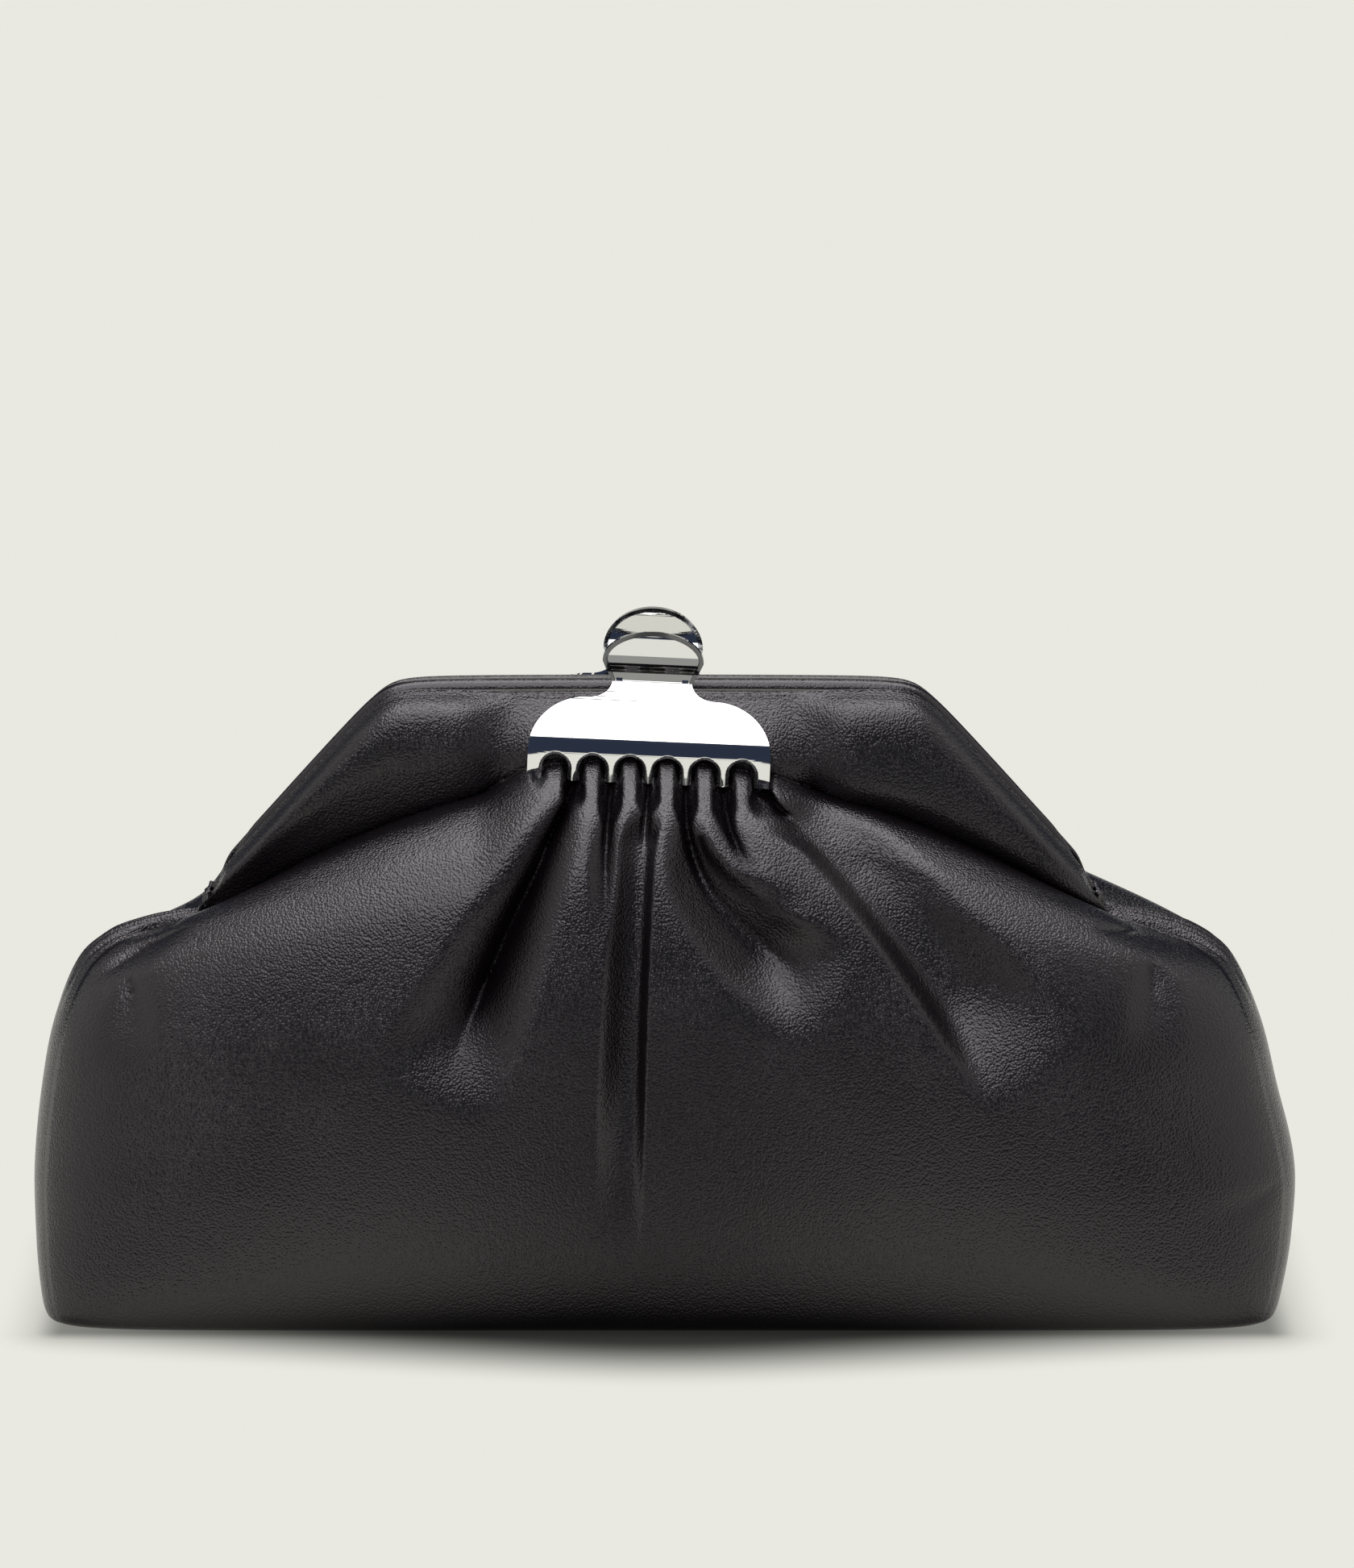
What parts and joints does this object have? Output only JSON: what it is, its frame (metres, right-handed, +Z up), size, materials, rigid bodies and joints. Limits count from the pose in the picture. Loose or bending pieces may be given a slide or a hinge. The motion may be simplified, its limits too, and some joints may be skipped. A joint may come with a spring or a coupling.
{
  "type": "gathered frame clutch",
  "caption": "Soft black leather frame clutch, gathered at the front and held shut by a polished claw clip with a sprung comb jaw and thumb levers.",
  "frame": {"origin": "middle of the bottom, on the surface that the bag stands on", "axes": "+X along the width, to the right as the front is faced; -Y out of the front; +Z up"},
  "size_m": [0.3198, 0.11, 0.1742],
  "materials": {
    "leather": "fine-grained semi-gloss nappa",
    "hinge": "satin",
    "clip": "mirror polish"
  },
  "bodies": {
    "bag": {"front_panel": "leather", "back_panel": "leather", "gusset_left": "leather", "gusset_right": "leather", "base_panel": "leather", "frame_bar_front": "leather", "frame_bar_back": "leather", "frame_hinge_left": "hinge", "frame_hinge_right": "hinge", "clip_back_jaw": "clip", "clip_hinge_pin": "clip"},
    "front_jaw": {"clip_front_jaw": "clip"}
  },
  "joints": [
    {"name": "clip_hinge", "type": "hinge", "parent": "bag", "child": "front_jaw", "pos_m": [-0.0031, 0, 0.1645], "axis": [-0.999, 0, 0.0436], "range_deg": [0, 30], "stiffness_Nm_per_rad": 0.05, "springref_deg": -20.05}
  ]
}
